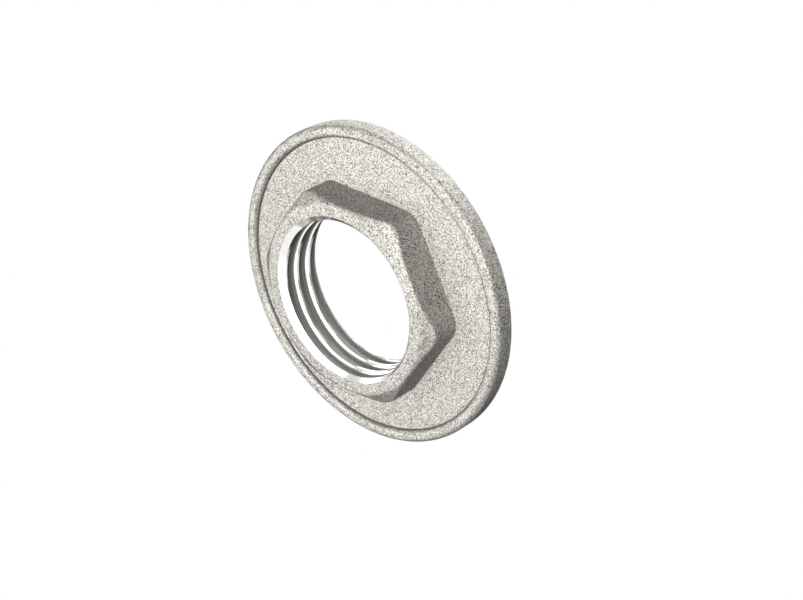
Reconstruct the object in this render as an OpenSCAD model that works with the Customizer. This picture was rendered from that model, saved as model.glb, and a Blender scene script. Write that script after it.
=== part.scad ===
// Flanged lock nut: a round flange with a raised rim, a chamfered hexagon boss and a threaded hole.
// It lies on the back of its flange with the hexagon up. Z is the axis of the hole and Z = 0 is the back face.
// All sizes are in millimetres.

/* [Flange] */
// Outside diameter of the round flange
flange_d = 40; // [30:0.5:60]
// Thickness of the flange inside the raised rim
plate_t = 1.8; // [1:0.1:4]
// Radial width of the raised rim
rim_w = 1.6; // [0.8:0.1:3]
// Height of the rim above the flange face
rim_h = 0.6; // [0.2:0.05:1.5]
// Rounding of the rim's two top edges
rim_r = 0.6; // [0.1:0.05:0.6]
// Rounding of the outer edge at the back
back_r = 0.2; // [0.05:0.05:0.6]

/* [Hexagon boss] */
// Width across the flats
hex_af = 24; // [22:0.5:40]
// Height of the nut from the back face to the hexagon's front face
nut_h = 6.4; // [4:0.1:14]
// Rounding of the six upright corners
hex_corner_r = 2.8; // [0.4:0.1:4]
// Diameter of the circle where the corner chamfer meets the front face
chamfer_d = 23.8; // [20:0.1:40]
// Slope of the corner chamfer below the front face, in degrees
chamfer_deg = 33; // [15:1:45]
// Rounding between the front face and the corner chamfer
chamfer_r = 0.8; // [0.2:0.1:2]

/* [Threaded hole] */
// Diameter over the crests of the inside thread
thread_minor_d = 19.5; // [8:0.05:30]
// Height and depth of the 45 degree chamfer at each end of the hole
hole_chamfer = 0.65; // [0.2:0.05:2]

/* [Hidden] */
// True circles throughout
$fn = 128;
// Solids that are joined reach into each other by this much
lap = 0.3;
// Cutters reach past the faces by this much
past = 1;

flange_r = flange_d / 2;
rim_top = plate_t + rim_h;
thread_minor_r = thread_minor_d / 2;
// Distance from the axis to the centre of each corner rounding
corner_centre = (hex_af / 2 - hex_corner_r) / cos(30);
// Length of the blend between front face and chamfer, measured along each of them
blend = chamfer_r * tan(chamfer_deg / 2);
// Well outside the hexagon's corners
chamfer_reach = hex_af * 0.65;

// Half section of the flange: a plate with an eased back edge, and the raised rim with both top edges rounded.
module flange_section() {
    square([flange_r - back_r, plate_t]);
    translate([0, back_r])
        square([flange_r, plate_t - back_r]);
    translate([flange_r - back_r, back_r])
        circle(back_r);
    translate([flange_r - rim_w, plate_t - lap])
        square([rim_w, rim_h - rim_r + lap]);
    translate([flange_r - rim_w + rim_r, plate_t - lap])
        square([rim_w - 2 * rim_r, rim_h + lap]);
    for (r = [flange_r - rim_w + rim_r, flange_r - rim_r])
        translate([r, rim_top - rim_r])
            circle(rim_r);
}

// Hexagon with rounded corners, a flat facing +X.
module rounded_hexagon() {
    polygon([
        for (i = [0:5])
            for (side = [-30, 30])
                let (turn = 60 * i + 30)
                    corner_centre * [cos(turn), sin(turn)]
                        + hex_corner_r * [cos(turn + side), sin(turn + side)]
    ]);
    for (i = [0:5])
        rotate(60 * i + 30)
            translate([corner_centre, 0])
                circle(hex_corner_r);
}

// Half section of the turned shape that chamfers the hexagon's corners, with a soft edge at the front face.
module chamfer_section() {
    edge_r = chamfer_d / 2;
    polygon([
        [0, plate_t - lap],
        [chamfer_reach, plate_t - lap],
        [chamfer_reach, nut_h - (chamfer_reach - edge_r) * tan(chamfer_deg)],
        [edge_r + blend * cos(chamfer_deg), nut_h - blend * sin(chamfer_deg)],
        [edge_r - blend, nut_h],
        [0, nut_h]
    ]);
    translate([edge_r - blend, nut_h - chamfer_r])
        circle(chamfer_r);
}

// Hexagon boss with its corners chamfered.
module hexagon_boss() {
    intersection() {
        translate([0, 0, plate_t - lap])
            linear_extrude(nut_h - plate_t + lap)
                rounded_hexagon();
        rotate_extrude()
            chamfer_section();
    }
}

// Hole over the thread crests, with a chamfer at each end.
module threaded_hole() {
    mouth_r = thread_minor_r + hole_chamfer + past;
    rotate_extrude()
        polygon([
            [0, -past],
            [mouth_r, -past],
            [thread_minor_r, hole_chamfer],
            [thread_minor_r, nut_h - hole_chamfer],
            [mouth_r, nut_h + past],
            [0, nut_h + past]
        ]);
}

// The whole nut is one casting: flange and boss in one, with the hole cut through.
module nut() {
    color([0.816, 0.8, 0.776])
        difference() {
            union() {
                rotate_extrude()
                    flange_section();
                hexagon_boss();
            }
            threaded_hole();
        }
}

nut();
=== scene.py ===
"""Flanged lock nut: the grainy casting, its bright cut thread, and the table and lights it is shown under."""
import math

import bmesh
import bpy
from bpy.props import FloatProperty, FloatVectorProperty, IntProperty, PointerProperty
from mathutils import Matrix, Vector


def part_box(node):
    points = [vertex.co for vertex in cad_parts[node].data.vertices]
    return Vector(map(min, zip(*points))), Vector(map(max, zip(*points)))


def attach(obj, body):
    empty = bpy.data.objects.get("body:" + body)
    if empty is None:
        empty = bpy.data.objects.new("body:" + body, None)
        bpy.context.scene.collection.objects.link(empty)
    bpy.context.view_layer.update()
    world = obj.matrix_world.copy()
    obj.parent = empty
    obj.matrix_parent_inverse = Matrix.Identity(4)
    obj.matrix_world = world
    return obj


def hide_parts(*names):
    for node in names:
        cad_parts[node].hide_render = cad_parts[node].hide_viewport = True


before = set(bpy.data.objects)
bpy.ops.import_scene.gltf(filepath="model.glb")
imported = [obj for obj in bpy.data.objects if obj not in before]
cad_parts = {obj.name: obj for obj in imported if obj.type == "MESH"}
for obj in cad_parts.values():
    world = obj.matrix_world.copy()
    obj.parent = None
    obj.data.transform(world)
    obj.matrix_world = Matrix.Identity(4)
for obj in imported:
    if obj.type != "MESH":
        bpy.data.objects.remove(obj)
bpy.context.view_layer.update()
nut_low, nut_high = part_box("nut")

bl_info = {
    "name": "Flanged lock nut",
    "version": (1, 0, 0),
    "blender": (4, 5, 0),
    "location": "3D View > Sidebar > Lock nut",
    "description": "Builds a flanged lock nut with a cut inside thread, and the stage it is shown on",
    "category": "Add Mesh",
}

MM = 0.001

# How steeply the painted shade in the crease fades up the rim's rounding
CREASE_FADE = 8

# Turns of thread laid out beyond each end of the hole before they are trimmed
SPARE_TURNS = 2

# Points closer than this, in metres, become one
MERGE_DISTANCE = 1e-7

# Edges that turn more than this stay sharp
SHARP_ANGLE = math.radians(16)

# Span of the grain pattern over which dark grains turn to light ones
GRAIN_SPAN = (0.4, 0.6)

# Strength and depth of the casting's tooth
TOOTH_STRENGTH = 0.1
TOOTH_DEPTH = 0.08 * MM

# Span of the pit pattern, and the roughness it gives the casting
PIT_SPAN = (0.3, 0.7)
CAST_ROUGHNESS = (0.46, 0.54)

# Roughness of the cut metal, and how finely its turning marks lie along each axis, per metre
CUT_ROUGHNESS = (0.13, 0.19)
TURNING_MARKS = (150.0, 150.0, 9000.0)

# Grey of the room round the table
ROOM_GREY = (0.02, 0.02, 0.02, 1)

# Soft lights that don't show as shine: degrees round the axis, degrees above the table, power in watts
SOFT_LIGHT_SIZE = 0.3
SOFT_LIGHTS = (
    ("key", 198, 45, 3.2),
    ("overhead", 0, 89, 0.5),
    ("edge_left", 244, -38, 4.7),
    ("edge_far", 258, -51, 6.0),
)

# Cards that show only as shine: degrees round the axis, degrees above, size in metres, power in watts
SHINE_CARDS = (
    ("card_top", 0, 89, 0.5, 3.0),
    ("card_back_high", 345, 62, 0.3, 1.6),
    ("card_high", 203, 66, 0.5, 3.4),
    ("card_right", 85, 18, 0.6, 0.9),
    ("card_right_high", 140, 38, 0.6, 1.8),
    ("card_front", 195, 42, 0.6, 1.2),
    ("card_front_low", 188, 22, 0.4, 1.7),
    ("card_left", 250, 38, 0.6, 1.8),
    ("card_left_low", 312, 12, 0.6, 0.6),
    ("card_left_back", 326, 26, 0.3, 1.0),
    ("card_far", 48, -5, 0.3, 0.1),
    ("card_under_right", 104, -42, 0.4, 0.2),
    ("card_under_front", 135, -42, 0.6, 0.28),
    ("card_under", 190, -42, 0.6, 0.22),
    ("card_under_left", 250, -42, 0.6, 0.32),
    ("card_under_far", 330, -41, 0.5, 1.0),
)


# Settings

class LockNutSizes(bpy.types.PropertyGroup):
    """Sizes of the nut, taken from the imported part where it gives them."""

    flange_radius: FloatProperty(
        name="Flange radius", description="Outside radius of the round flange",
        default=(nut_high[0] - nut_low[0]) / 2, unit="LENGTH")
    height: FloatProperty(
        name="Height", description="From the back face to the hexagon's front face",
        default=nut_high[2] - nut_low[2], unit="LENGTH")
    plate: FloatProperty(
        name="Flange thickness", description="Thickness of the flange inside the raised rim",
        default=1.8 * MM, unit="LENGTH")
    rim_width: FloatProperty(
        name="Rim width", description="Radial width of the raised rim",
        default=1.6 * MM, unit="LENGTH")
    rim_height: FloatProperty(
        name="Rim height", description="Height of the rim above the flange face",
        default=0.6 * MM, unit="LENGTH")
    rim_round: FloatProperty(
        name="Rim rounding", description="Rounding of the rim's two top edges",
        default=0.6 * MM, unit="LENGTH")
    back_round: FloatProperty(
        name="Back edge rounding", description="Rounding of the flange's outer edge at the back",
        default=0.2 * MM, unit="LENGTH")
    across_flats: FloatProperty(
        name="Across flats", description="Width of the hexagon across its flats",
        default=24.0 * MM, unit="LENGTH")
    corner_round: FloatProperty(
        name="Corner rounding", description="Rounding of the hexagon's six upright corners",
        default=2.8 * MM, unit="LENGTH")
    chamfer_radius: FloatProperty(
        name="Chamfer radius", description="Radius where the corner chamfer meets the front face",
        default=11.9 * MM, unit="LENGTH")
    chamfer_slope: FloatProperty(
        name="Chamfer slope", description="Slope of the corner chamfer below the front face",
        default=math.radians(33), subtype="ANGLE")
    chamfer_blend: FloatProperty(
        name="Chamfer blend", description="Rounding between the front face and the corner chamfer",
        default=0.8 * MM, unit="LENGTH")
    edge_soften: FloatProperty(
        name="Edge softening", description="How far the cast edge at the top of each flat is rounded",
        default=0.3 * MM, unit="LENGTH")
    foot_soften: FloatProperty(
        name="Foot softening", description="Small fillet where the hexagon stands on the flange",
        default=0.1 * MM, unit="LENGTH")
    # Painted shade: how far the darkening painted into the crease at the rim's foot reaches over the flange
    # face
    crease_width: FloatProperty(
        name="Crease width",
        description="How far the dark crease at the rim's foot reaches over the flange face",
        default=0.1 * MM, unit="LENGTH")
    hole_radius: FloatProperty(
        name="Hole radius", description="Radius over the crests of the inside thread",
        default=9.75 * MM, unit="LENGTH")
    hole_chamfer: FloatProperty(
        name="Hole chamfer", description="Size of the 45 degree chamfer at each end of the hole",
        default=0.65 * MM, unit="LENGTH")


class LockNutThread(bpy.types.PropertyGroup):
    """Form of the inside thread."""

    pitch: FloatProperty(
        name="Pitch", description="Rise of the thread in one turn",
        default=1.975 * MM, unit="LENGTH")
    depth: FloatProperty(
        name="Depth", description="Depth of the groove below the crests",
        default=0.65 * MM, unit="LENGTH")
    crest: FloatProperty(
        name="Crest width", description="Width of the flat on each crest",
        default=0.36 * MM, unit="LENGTH")
    shoulder: FloatProperty(
        name="Shoulder", description="Size of the 45 degree facet between crest and flank",
        default=0.17 * MM, unit="LENGTH")
    root: FloatProperty(
        name="Root rounding", description="Rounding at the bottom of the groove",
        default=0.15 * MM, unit="LENGTH")
    flank: FloatProperty(
        name="Flank angle", description="Angle between a flank and a plane square to the axis",
        default=math.radians(27.5), subtype="ANGLE")
    start: FloatProperty(
        name="Start height", description="Height of the lowest full crest where it faces +X",
        default=1.887 * MM, unit="LENGTH")
    end: FloatProperty(
        name="End",
        description="Turns after the start at which the groove has run out below the front chamfer",
        default=1.6)
    runout: FloatProperty(
        name="Run-out", description="Turns over which the groove grows shallow before its end",
        default=0.25, min=0.01)
    columns: IntProperty(
        name="Columns", description="Points around the axis",
        default=360, min=24)


class LockNutFinish(bpy.types.PropertyGroup):
    """Colours and surface of the casting and of the cut metal."""

    cast_light: FloatVectorProperty(
        name="Cast, light", description="Colour of the light grains of the casting",
        default=(0.47, 0.457, 0.42), size=3, subtype="COLOR", min=0, max=1)
    cast_dark: FloatVectorProperty(
        name="Cast, dark", description="Colour of the dark grains of the casting",
        default=(0.02, 0.0195, 0.018), size=3, subtype="COLOR", min=0, max=1)
    cut_colour: FloatVectorProperty(
        name="Cut metal", description="Colour of the bright thread and its chamfers",
        default=(0.88, 0.87, 0.84), size=3, subtype="COLOR", min=0, max=1)
    # Painted shade: the dark colour painted into the crease at the rim's foot, where shade falls
    crease: FloatVectorProperty(
        name="Crease", description="Colour of the dark crease at the rim's foot",
        default=(0.11, 0.107, 0.1), size=3, subtype="COLOR", min=0, max=1)
    # Painted shade: the colour painted into the bottom of the thread's grooves, where shade falls in the
    # recess
    groove_shade_colour: FloatVectorProperty(
        name="Groove", description="Colour of the dull metal at the bottom of the thread",
        default=(0.115, 0.113, 0.106), size=3, subtype="COLOR", min=0, max=1)
    grain: FloatProperty(
        name="Grain size", description="Size of the casting's grains",
        default=0.056 * MM, unit="LENGTH")


class LockNutStage(bpy.types.PropertyGroup):
    """Camera, table and lights."""

    camera_place: FloatVectorProperty(
        name="Camera place", description="Where the camera stands",
        default=(-0.13559, -0.02439, 0.12057), size=3, subtype="XYZ", unit="LENGTH")
    camera_right: FloatVectorProperty(
        name="Camera right", description="Direction that is to the right in the picture",
        default=(-0.66694, 0.35463, -0.65531), size=3, subtype="DIRECTION")
    camera_down: FloatVectorProperty(
        name="Camera down", description="Direction that is downwards in the picture",
        default=(0.13752, 0.92295, 0.35952), size=3, subtype="DIRECTION")
    lens: FloatProperty(
        name="Lens", description="Focal length on a 36 mm wide sensor, in millimetres",
        default=68.97)
    light_distance: FloatProperty(
        name="Light distance", description="How far the lights stand from the nut",
        default=0.5, unit="LENGTH")
    table_size: FloatProperty(
        name="Table size", description="Side of the pale table",
        default=4.0, unit="LENGTH")
    table_lift: FloatProperty(
        name="Table lift",
        description="Height of the table over the nut's back, so they don't share a plane",
        default=0.02 * MM, unit="LENGTH")


# Shape of the casting

def hexagon_radius(sizes, turn):
    """Distance from the axis to the rounded hexagon, in the direction turn."""
    sector = math.pi / 3
    off = abs((turn + sector / 2) % sector - sector / 2)
    apothem = sizes.across_flats / 2
    centre = (apothem - sizes.corner_round) / math.cos(math.pi / 6)
    tangent = math.atan2(centre / 2, apothem)
    if off < tangent:
        return apothem / math.cos(off)
    away = math.pi / 6 - off
    return centre * math.cos(away) + math.sqrt(sizes.corner_round ** 2 - (centre * math.sin(away)) ** 2)


def crown_height(sizes, radius):
    """Height of the front face, its soft edge and the corner chamfer, at a distance from the axis."""
    blend = sizes.chamfer_blend
    slope = sizes.chamfer_slope
    start = sizes.chamfer_radius - blend * math.tan(slope / 2)
    if radius <= start:
        return sizes.height
    out = radius - start
    if out < blend * math.sin(slope):
        return sizes.height - blend + math.sqrt(blend ** 2 - out ** 2)
    return sizes.height - (radius - sizes.chamfer_radius) * math.tan(slope)


def spread(low, high, count):
    """Evenly spaced values from low to high, without the last one."""
    return [low + (high - low) * i / count for i in range(count)]


def soft_corner(first, corner, last, count):
    """Points of a soft bend from first to last round a corner, without the last one."""
    points = []
    for t in spread(0.0, 1.0, count):
        points.append(tuple(
            (1 - t) ** 2 * a + 2 * t * (1 - t) * b + t ** 2 * c
            for a, b, c in zip(first, corner, last)))
    return points


def arc(centre, radius, start, end, count):
    """Points of an arc in the half section, from start to end degrees, without the last one."""
    return [
        (centre[0] + radius * math.cos(math.radians(a)), centre[1] + radius * math.sin(math.radians(a)))
        for a in spread(start, end, count)]


def casting_painted_shade(sizes, radius, height):
    """Painted shade at a point of the casting: from -1, darkest, in the crease at the rim's foot to 0 on open
    faces.
    """
    inner = sizes.flange_radius - sizes.rim_width
    across = (inner + sizes.rim_round - radius) / sizes.rim_round
    if height < sizes.plate or not 0.0 < across <= 1.0:
        return 0.0
    return -across ** CREASE_FADE


def outer_section(sizes, turn):
    """Half section of the casting at one direction, from the front mouth of the hole to the back one.

    Each point is its radius, its height and its painted shade.
    """
    mouth = sizes.hole_radius + sizes.hole_chamfer
    edge = hexagon_radius(sizes, turn)
    soft = sizes.edge_soften
    foot = sizes.foot_soften
    top = sizes.height
    plate = sizes.plate
    outer = sizes.flange_radius
    inner = outer - sizes.rim_width
    rim_top = plate + sizes.rim_height
    rim = sizes.rim_round
    back = sizes.back_round
    crease = sizes.crease_width
    flat_end = sizes.chamfer_radius - sizes.chamfer_blend * math.tan(sizes.chamfer_slope / 2)
    brow = crown_height(sizes, edge)

    points = [(r, top) for r in spread(mouth, flat_end, 5)]
    points += [(r, crown_height(sizes, r)) for r in spread(flat_end, edge - soft, 10)]
    bend = (edge - soft, crown_height(sizes, edge - soft))
    points += soft_corner(bend, (edge, brow), (edge, brow - soft), 12)
    points += [(edge, z) for z in spread(brow - soft, plate + foot, 6)]
    points += soft_corner((edge, plate + foot), (edge, plate), (edge + foot, plate), 10)
    points += [(r, plate) for r in spread(edge + foot, inner - crease, 8)]
    # The crease's painted shade fades in over the flange face from here to the rim's foot
    points += [(inner - crease, plate), (inner, plate)]
    points += arc((inner + rim, rim_top - rim), rim, 180, 90, 10)
    points += [(r, rim_top) for r in spread(inner + rim, outer - rim, 3)]
    points += arc((outer - rim, rim_top - rim), rim, 90, 0, 10)
    points += [(outer, z) for z in spread(rim_top - rim, back, 4)]
    points += arc((outer - back, back), back, 0, -90, 8)
    points += [(r, 0.0) for r in spread(outer - back, mouth, 8)]
    points += [(mouth, 0.0)]
    return [(r, z, casting_painted_shade(sizes, r, z)) for r, z in points]


# Shape of the thread

def thread_section(thread):
    """One pitch of the thread, as height above the crest's middle and depth below the crest."""
    lean = math.pi / 2 - thread.flank
    edge = thread.crest / 2
    flank_start = (edge + thread.shoulder, thread.shoulder)
    root_drop = thread.root * (1 - math.cos(lean))
    flank_drop = thread.depth - thread.shoulder - root_drop
    flank_end = (flank_start[0] + flank_drop / math.tan(lean), thread.depth - root_drop)
    floor_start = flank_end[0] + thread.root * math.sin(lean)

    half = [(s, 0.0) for s in spread(0.0, edge, 3)]
    half += [(edge + t, t) for t in spread(0.0, thread.shoulder, 3)]
    for t in spread(0.0, 1.0, 5):
        half.append(tuple(a + (b - a) * t for a, b in zip(flank_start, flank_end)))
    for turn in spread(lean, 0.0, 6):
        along = thread.root * (math.sin(lean) - math.sin(turn))
        half.append((flank_end[0] + along, thread.depth - thread.root * (1 - math.cos(turn))))
    half += [(s, thread.depth) for s in spread(floor_start, thread.pitch / 2, 3)]
    falling = [(thread.pitch - s, d) for s, d in reversed(half[1:])]
    return half + [(thread.pitch / 2, thread.depth)] + falling


def hole_column(sizes, thread, section, turns, turn):
    """Points up the hole's wall at one direction, each its radius, its height and its painted shade."""
    top = sizes.height
    mouth = sizes.hole_radius + sizes.hole_chamfer
    rise = thread.pitch * turn / (2 * math.pi)
    column = []
    for n in range(-SPARE_TURNS, turns - SPARE_TURNS):
        left = thread.end - n - turn / (2 * math.pi)
        full = min(max(left / thread.runout, 0.0), 1.0)
        for along, depth in section:
            z = min(max(thread.start + n * thread.pitch + rise + along, 0.0), top)
            column.append([sizes.hole_radius + depth * full, z])

    def cone(z):
        return mouth - min(z, top - z)

    excess = [r - cone(z) for r, z in column]
    snapped = {}
    for i in range(len(column) - 1):
        a, b = excess[i], excess[i + 1]
        if a * b < 0 and column[i][1] != column[i + 1][1]:
            t = a / (a - b)
            z = column[i][1] + t * (column[i + 1][1] - column[i][1])
            snapped[i if t < 0.5 else i + 1] = (cone(z), z)
    points = []
    for i, (r, z) in enumerate(column):
        if i in snapped:
            points.append((*snapped[i], 0.0))
        elif z in (0.0, top):
            points.append((mouth, z, 0.0))
        elif r <= cone(z):
            points.append((cone(z), z, 0.0))
        else:
            # Painted shade deepens down the groove, full from one shoulder's depth below the crest's shoulder
            below = r - sizes.hole_radius - thread.shoulder
            points.append((r, z, -min(max(below / thread.shoulder, 0.0), 1.0)))
    return points


# Materials

def new_material(name):
    """A fresh node material and its principled shader."""
    material = bpy.data.materials.new(name)
    material.use_nodes = True
    return material, material.node_tree.nodes["Principled BSDF"]


def cast_grain_material(finish):
    """Grainy light grey casting: fine light and dark grains, a fine tooth and a dark crease at the rim that
    is painted shade.
    """
    material, shader = new_material("cast_grain")
    nodes, links = material.node_tree.nodes, material.node_tree.links
    place = nodes.new("ShaderNodeTexCoord")

    grains = nodes.new("ShaderNodeTexVoronoi")
    grains.inputs["Scale"].default_value = 1.0 / finish.grain
    links.new(place.outputs["Object"], grains.inputs["Vector"])

    shades = nodes.new("ShaderNodeValToRGB")
    shades.color_ramp.elements[0].position = GRAIN_SPAN[0]
    shades.color_ramp.elements[0].color = (*finish.cast_dark, 1)
    shades.color_ramp.elements[1].position = GRAIN_SPAN[1]
    shades.color_ramp.elements[1].color = (*finish.cast_light, 1)
    links.new(grains.outputs["Color"], shades.inputs["Fac"])

    # Painted shade: the crease colour is mixed over the grains at the rim's foot
    painted_shade = nodes.new("ShaderNodeAttribute")
    painted_shade.attribute_name = "painted_shade"

    crease = nodes.new("ShaderNodeMapRange")
    crease.inputs["From Min"].default_value = -1.0
    crease.inputs["From Max"].default_value = 0.0
    links.new(painted_shade.outputs["Fac"], crease.inputs["Value"])

    surface = nodes.new("ShaderNodeMix")
    surface.data_type = "RGBA"
    surface.inputs["A"].default_value = (*finish.crease, 1)
    links.new(crease.outputs["Result"], surface.inputs["Factor"])
    links.new(shades.outputs["Color"], surface.inputs["B"])
    links.new(surface.outputs["Result"], shader.inputs["Base Color"])

    pits = nodes.new("ShaderNodeTexNoise")
    pits.inputs["Scale"].default_value = 0.5 / finish.grain
    links.new(place.outputs["Object"], pits.inputs["Vector"])

    tooth = nodes.new("ShaderNodeBump")
    tooth.inputs["Strength"].default_value = TOOTH_STRENGTH
    tooth.inputs["Distance"].default_value = TOOTH_DEPTH
    links.new(pits.outputs["Fac"], tooth.inputs["Height"])
    links.new(tooth.outputs["Normal"], shader.inputs["Normal"])

    dullness = nodes.new("ShaderNodeMapRange")
    dullness.inputs["From Min"].default_value = PIT_SPAN[0]
    dullness.inputs["From Max"].default_value = PIT_SPAN[1]
    dullness.inputs["To Min"].default_value = CAST_ROUGHNESS[0]
    dullness.inputs["To Max"].default_value = CAST_ROUGHNESS[1]
    links.new(pits.outputs["Fac"], dullness.inputs["Value"])
    links.new(dullness.outputs["Result"], shader.inputs["Roughness"])

    shader.inputs["Metallic"].default_value = 0.35
    shader.inputs["Specular IOR Level"].default_value = 0.1
    shader.inputs["Specular Tint"].default_value = (0.1, 0.1, 0.1, 1)
    return material


def cut_metal_material(finish):
    """Bright cut metal of crests and chamfers, with faint turning marks, and grooves made non-metallic and
    darkened in colour as painted shade.
    """
    material, shader = new_material("cut_metal")
    nodes, links = material.node_tree.nodes, material.node_tree.links
    place = nodes.new("ShaderNodeTexCoord")

    stretch = nodes.new("ShaderNodeMapping")
    stretch.inputs["Scale"].default_value = TURNING_MARKS
    links.new(place.outputs["Object"], stretch.inputs["Vector"])

    marks = nodes.new("ShaderNodeTexNoise")
    marks.inputs["Scale"].default_value = 1.0
    marks.inputs["Detail"].default_value = 2.0
    links.new(stretch.outputs["Vector"], marks.inputs["Vector"])

    sheen = nodes.new("ShaderNodeMapRange")
    sheen.inputs["To Min"].default_value = CUT_ROUGHNESS[0]
    sheen.inputs["To Max"].default_value = CUT_ROUGHNESS[1]
    links.new(marks.outputs["Fac"], sheen.inputs["Value"])
    links.new(sheen.outputs["Result"], shader.inputs["Roughness"])

    # Painted shade: the grooves take the dark groove colour and lose their metal
    painted_shade = nodes.new("ShaderNodeAttribute")
    painted_shade.attribute_name = "painted_shade"

    depth = nodes.new("ShaderNodeMapRange")
    depth.inputs["From Min"].default_value = 0.0
    depth.inputs["From Max"].default_value = -1.0
    links.new(painted_shade.outputs["Fac"], depth.inputs["Value"])

    shades = nodes.new("ShaderNodeMix")
    shades.data_type = "RGBA"
    shades.inputs["A"].default_value = (*finish.cut_colour, 1)
    shades.inputs["B"].default_value = (*finish.groove_shade_colour, 1)
    links.new(depth.outputs["Result"], shades.inputs["Factor"])
    links.new(shades.outputs["Result"], shader.inputs["Base Color"])

    bare = nodes.new("ShaderNodeMapRange")
    bare.inputs["From Min"].default_value = -1.0
    bare.inputs["From Max"].default_value = 0.0
    links.new(painted_shade.outputs["Fac"], bare.inputs["Value"])
    links.new(bare.outputs["Result"], shader.inputs["Metallic"])

    shader.inputs["Specular IOR Level"].default_value = 0.1
    return material


def table_material():
    """Pale lit table."""
    material, shader = new_material("pale_table")
    shader.inputs["Base Color"].default_value = (0.0, 0.0, 0.0, 1)
    shader.inputs["Specular IOR Level"].default_value = 0.0
    shader.inputs["Emission Color"].default_value = (1.0, 1.0, 1.0, 1)
    shader.inputs["Emission Strength"].default_value = 1.0
    return material


# Operators

class OBJECT_OT_lock_nut(bpy.types.Operator):
    """Build the nut as one closed piece, with its thread cut into the hole"""

    bl_idname = "object.lock_nut_build"
    bl_label = "Build nut"

    def execute(self, context):
        sizes = context.scene.lock_nut_sizes
        thread = context.scene.lock_nut_thread
        finish = context.scene.lock_nut_finish
        section = thread_section(thread)
        turns = math.ceil(sizes.height / thread.pitch) + 2 * SPARE_TURNS
        count = thread.columns

        outer_columns = []
        hole_columns = []
        for i in range(count + 1):
            turn = 2 * math.pi * i / count
            spin = (math.cos(turn), math.sin(turn))
            outer_columns.append([
                ((r * spin[0], r * spin[1], z), painted_shade)
                for r, z, painted_shade in outer_section(sizes, turn)])
            hole_columns.append([
                ((r * spin[0], r * spin[1], z), painted_shade)
                for r, z, painted_shade in hole_column(sizes, thread, section, turns, turn)])

        points = []
        painted_shades = []
        faces = []
        cut = []
        for columns, is_cut in ((outer_columns, False), (hole_columns, True)):
            start = len(points)
            rows = len(columns[0])
            for column in columns:
                points += [point for point, painted_shade in column]
                painted_shades += [painted_shade for point, painted_shade in column]
            for i in range(count):
                for j in range(rows - 1):
                    a = start + i * rows + j
                    b = a + rows
                    faces.append((a, a + 1, b + 1, b))
                    cut.append(is_cut)

        mesh = bpy.data.meshes.new("lock_nut")
        mesh.from_pydata(points, [], faces)
        # This attribute holds painted shade for the crease at the rim's foot and for the thread's grooves
        mesh.attributes.new("painted_shade", "FLOAT", "POINT").data.foreach_set("value", painted_shades)
        mesh.materials.append(cast_grain_material(finish))
        mesh.materials.append(cut_metal_material(finish))
        for polygon, is_cut in zip(mesh.polygons, cut):
            polygon.material_index = 1 if is_cut else 0

        work = bmesh.new()
        work.from_mesh(mesh)
        bmesh.ops.remove_doubles(work, verts=work.verts, dist=MERGE_DISTANCE)
        bmesh.ops.dissolve_degenerate(work, edges=work.edges, dist=MERGE_DISTANCE)
        bmesh.ops.recalc_face_normals(work, faces=work.faces)
        open_edges = sum(1 for edge in work.edges if len(edge.link_faces) != 2)
        work.to_mesh(mesh)
        work.free()
        mesh.shade_smooth()
        mesh.set_sharp_from_angle(angle=SHARP_ANGLE)
        print("lock nut:", len(mesh.polygons), "faces,", open_edges, "open edges")

        nut = bpy.data.objects.new("lock_nut", mesh)
        context.scene.collection.objects.link(nut)
        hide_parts("nut")
        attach(nut, "root")
        return {"FINISHED"}


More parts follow.
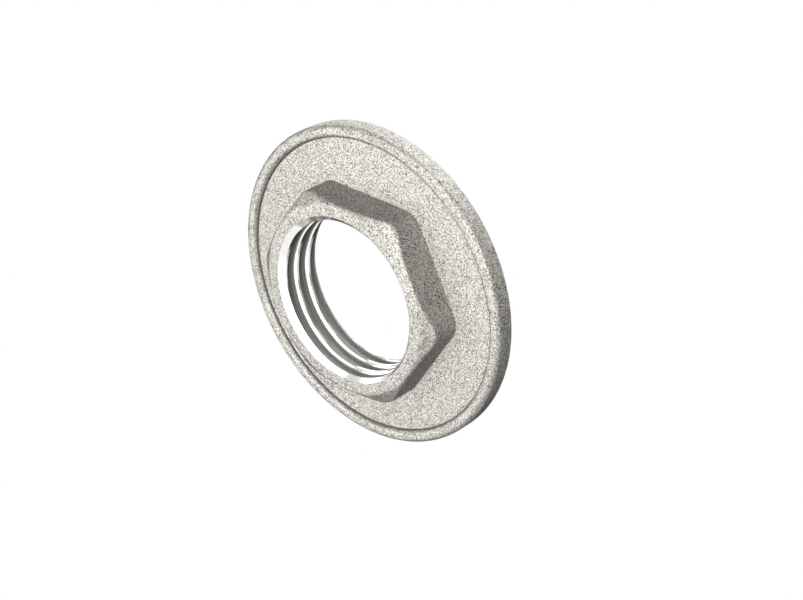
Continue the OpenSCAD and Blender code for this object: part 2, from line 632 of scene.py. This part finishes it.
class OBJECT_OT_lock_nut_stage(bpy.types.Operator):
    """Set the camera, the pale table and the lights"""

    bl_idname = "object.lock_nut_stage"
    bl_label = "Set the stage"

    def execute(self, context):
        scene = context.scene
        stage = scene.lock_nut_stage
        scene.view_settings.view_transform = "Standard"

        right = Vector(stage.camera_right).normalized()
        up = -Vector(stage.camera_down)
        up = (up - right * up.dot(right)).normalized()
        back = right.cross(up)
        lens = bpy.data.cameras.new("camera")
        lens.lens = stage.lens
        lens.sensor_width = 36.0
        lens.clip_start = 0.001
        camera = bpy.data.objects.new("camera", lens)
        turned = Matrix((right, up, back)).transposed().to_4x4()
        camera.matrix_world = Matrix.Translation(Vector(stage.camera_place)) @ turned
        scene.collection.objects.link(camera)
        scene.camera = camera

        half = stage.table_size / 2
        lift = stage.table_lift
        mesh = bpy.data.meshes.new("table")
        corners = [(-half, -half, lift), (half, -half, lift), (half, half, lift), (-half, half, lift)]
        mesh.from_pydata(corners, [], [(0, 1, 2, 3)])
        mesh.materials.append(table_material())
        table = bpy.data.objects.new("table", mesh)
        table.visible_diffuse = False
        table.visible_glossy = False
        table.visible_shadow = False
        scene.collection.objects.link(table)

        world = bpy.data.worlds.new("studio")
        scene.world = world
        world.use_nodes = True
        world.node_tree.nodes["Background"].inputs["Color"].default_value = ROOM_GREY
        world.node_tree.nodes["Background"].inputs["Strength"].default_value = 1.0

        def panel(name, around, above, size, power):
            light = bpy.data.lights.new(name, "AREA")
            light.shape = "DISK"
            light.size = size
            light.energy = power
            lamp = bpy.data.objects.new(name, light)
            turn, tilt = math.radians(around), math.radians(above)
            way = Vector((math.cos(tilt) * math.cos(turn), math.cos(tilt) * math.sin(turn), math.sin(tilt)))
            lamp.location = way * stage.light_distance
            lamp.rotation_euler = way.to_track_quat("Z", "Y").to_euler()
            scene.collection.objects.link(lamp)
            return lamp

        for name, around, above, power in SOFT_LIGHTS:
            panel(name, around, above, SOFT_LIGHT_SIZE, power).visible_glossy = False

        # The shine from behind casts no shadow, so the hexagon doesn't darken the flange in front of it
        shine = panel("shine_back", 10, 41, 0.5, 3.1)
        shine.visible_diffuse = False
        shine.data.use_shadow = False
        shine.data.cycles.use_multiple_importance_sampling = False

        for name, around, above, size, power in SHINE_CARDS:
            panel(name, around, above, size, power).visible_diffuse = False
        return {"FINISHED"}


class VIEW3D_PT_lock_nut(bpy.types.Panel):
    """Sizes, finishes and operators of the lock nut"""

    bl_label = "Lock nut"
    bl_idname = "VIEW3D_PT_lock_nut"
    bl_space_type = "VIEW_3D"
    bl_region_type = "UI"
    bl_category = "Lock nut"

    def draw(self, context):
        layout = self.layout
        for group in (
                context.scene.lock_nut_sizes, context.scene.lock_nut_thread,
                context.scene.lock_nut_finish, context.scene.lock_nut_stage):
            box = layout.box()
            for name in group.__annotations__:
                box.prop(group, name)
        layout.operator(OBJECT_OT_lock_nut.bl_idname)
        layout.operator(OBJECT_OT_lock_nut_stage.bl_idname)


CLASSES = (
    LockNutSizes,
    LockNutThread,
    LockNutFinish,
    LockNutStage,
    OBJECT_OT_lock_nut,
    OBJECT_OT_lock_nut_stage,
    VIEW3D_PT_lock_nut,
)


def register():
    for cls in CLASSES:
        bpy.utils.register_class(cls)
    bpy.types.Scene.lock_nut_sizes = PointerProperty(type=LockNutSizes)
    bpy.types.Scene.lock_nut_thread = PointerProperty(type=LockNutThread)
    bpy.types.Scene.lock_nut_finish = PointerProperty(type=LockNutFinish)
    bpy.types.Scene.lock_nut_stage = PointerProperty(type=LockNutStage)


def unregister():
    del bpy.types.Scene.lock_nut_stage
    del bpy.types.Scene.lock_nut_finish
    del bpy.types.Scene.lock_nut_thread
    del bpy.types.Scene.lock_nut_sizes
    for cls in reversed(CLASSES):
        bpy.utils.unregister_class(cls)


def main():
    """Build the nut and its stage."""
    register()
    bpy.ops.object.lock_nut_build()
    bpy.ops.object.lock_nut_stage()


if __name__ == "__main__":
    main()
